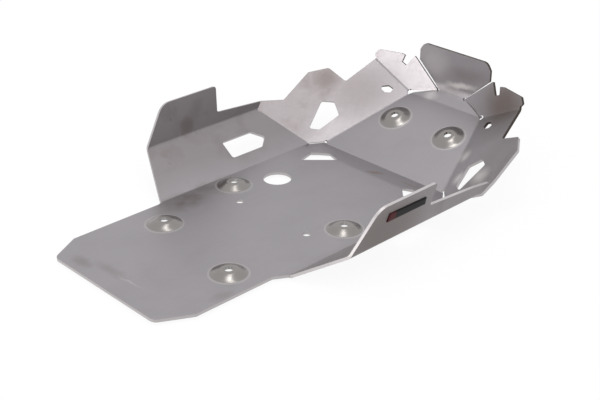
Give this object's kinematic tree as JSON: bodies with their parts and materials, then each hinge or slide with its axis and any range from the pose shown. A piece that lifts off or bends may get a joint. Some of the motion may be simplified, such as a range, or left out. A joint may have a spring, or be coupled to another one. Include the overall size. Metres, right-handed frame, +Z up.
{
  "type": "motorcycle engine guard",
  "caption": "Folded aluminium guard for the underside of a motorcycle engine: a flat tray with raised bolt bosses, side walls, a front ramp, braced flanges and a nose plate.",
  "frame": {"origin": "on the centre line under the base plate, at the sheet's rear edge", "axes": "+X forward along the tray to the nose plate, +Y across to the side with the drain hole, +Z up"},
  "size_m": [0.504, 0.3409, 0.1079],
  "materials": {
    "satin_sheet": "satin rolled, lightly smudged",
    "badge": "thin printed label, dark"
  },
  "bodies": {
    "root": {"guard_sheet": "satin_sheet", "badge": "badge"}
  },
  "joints": []
}
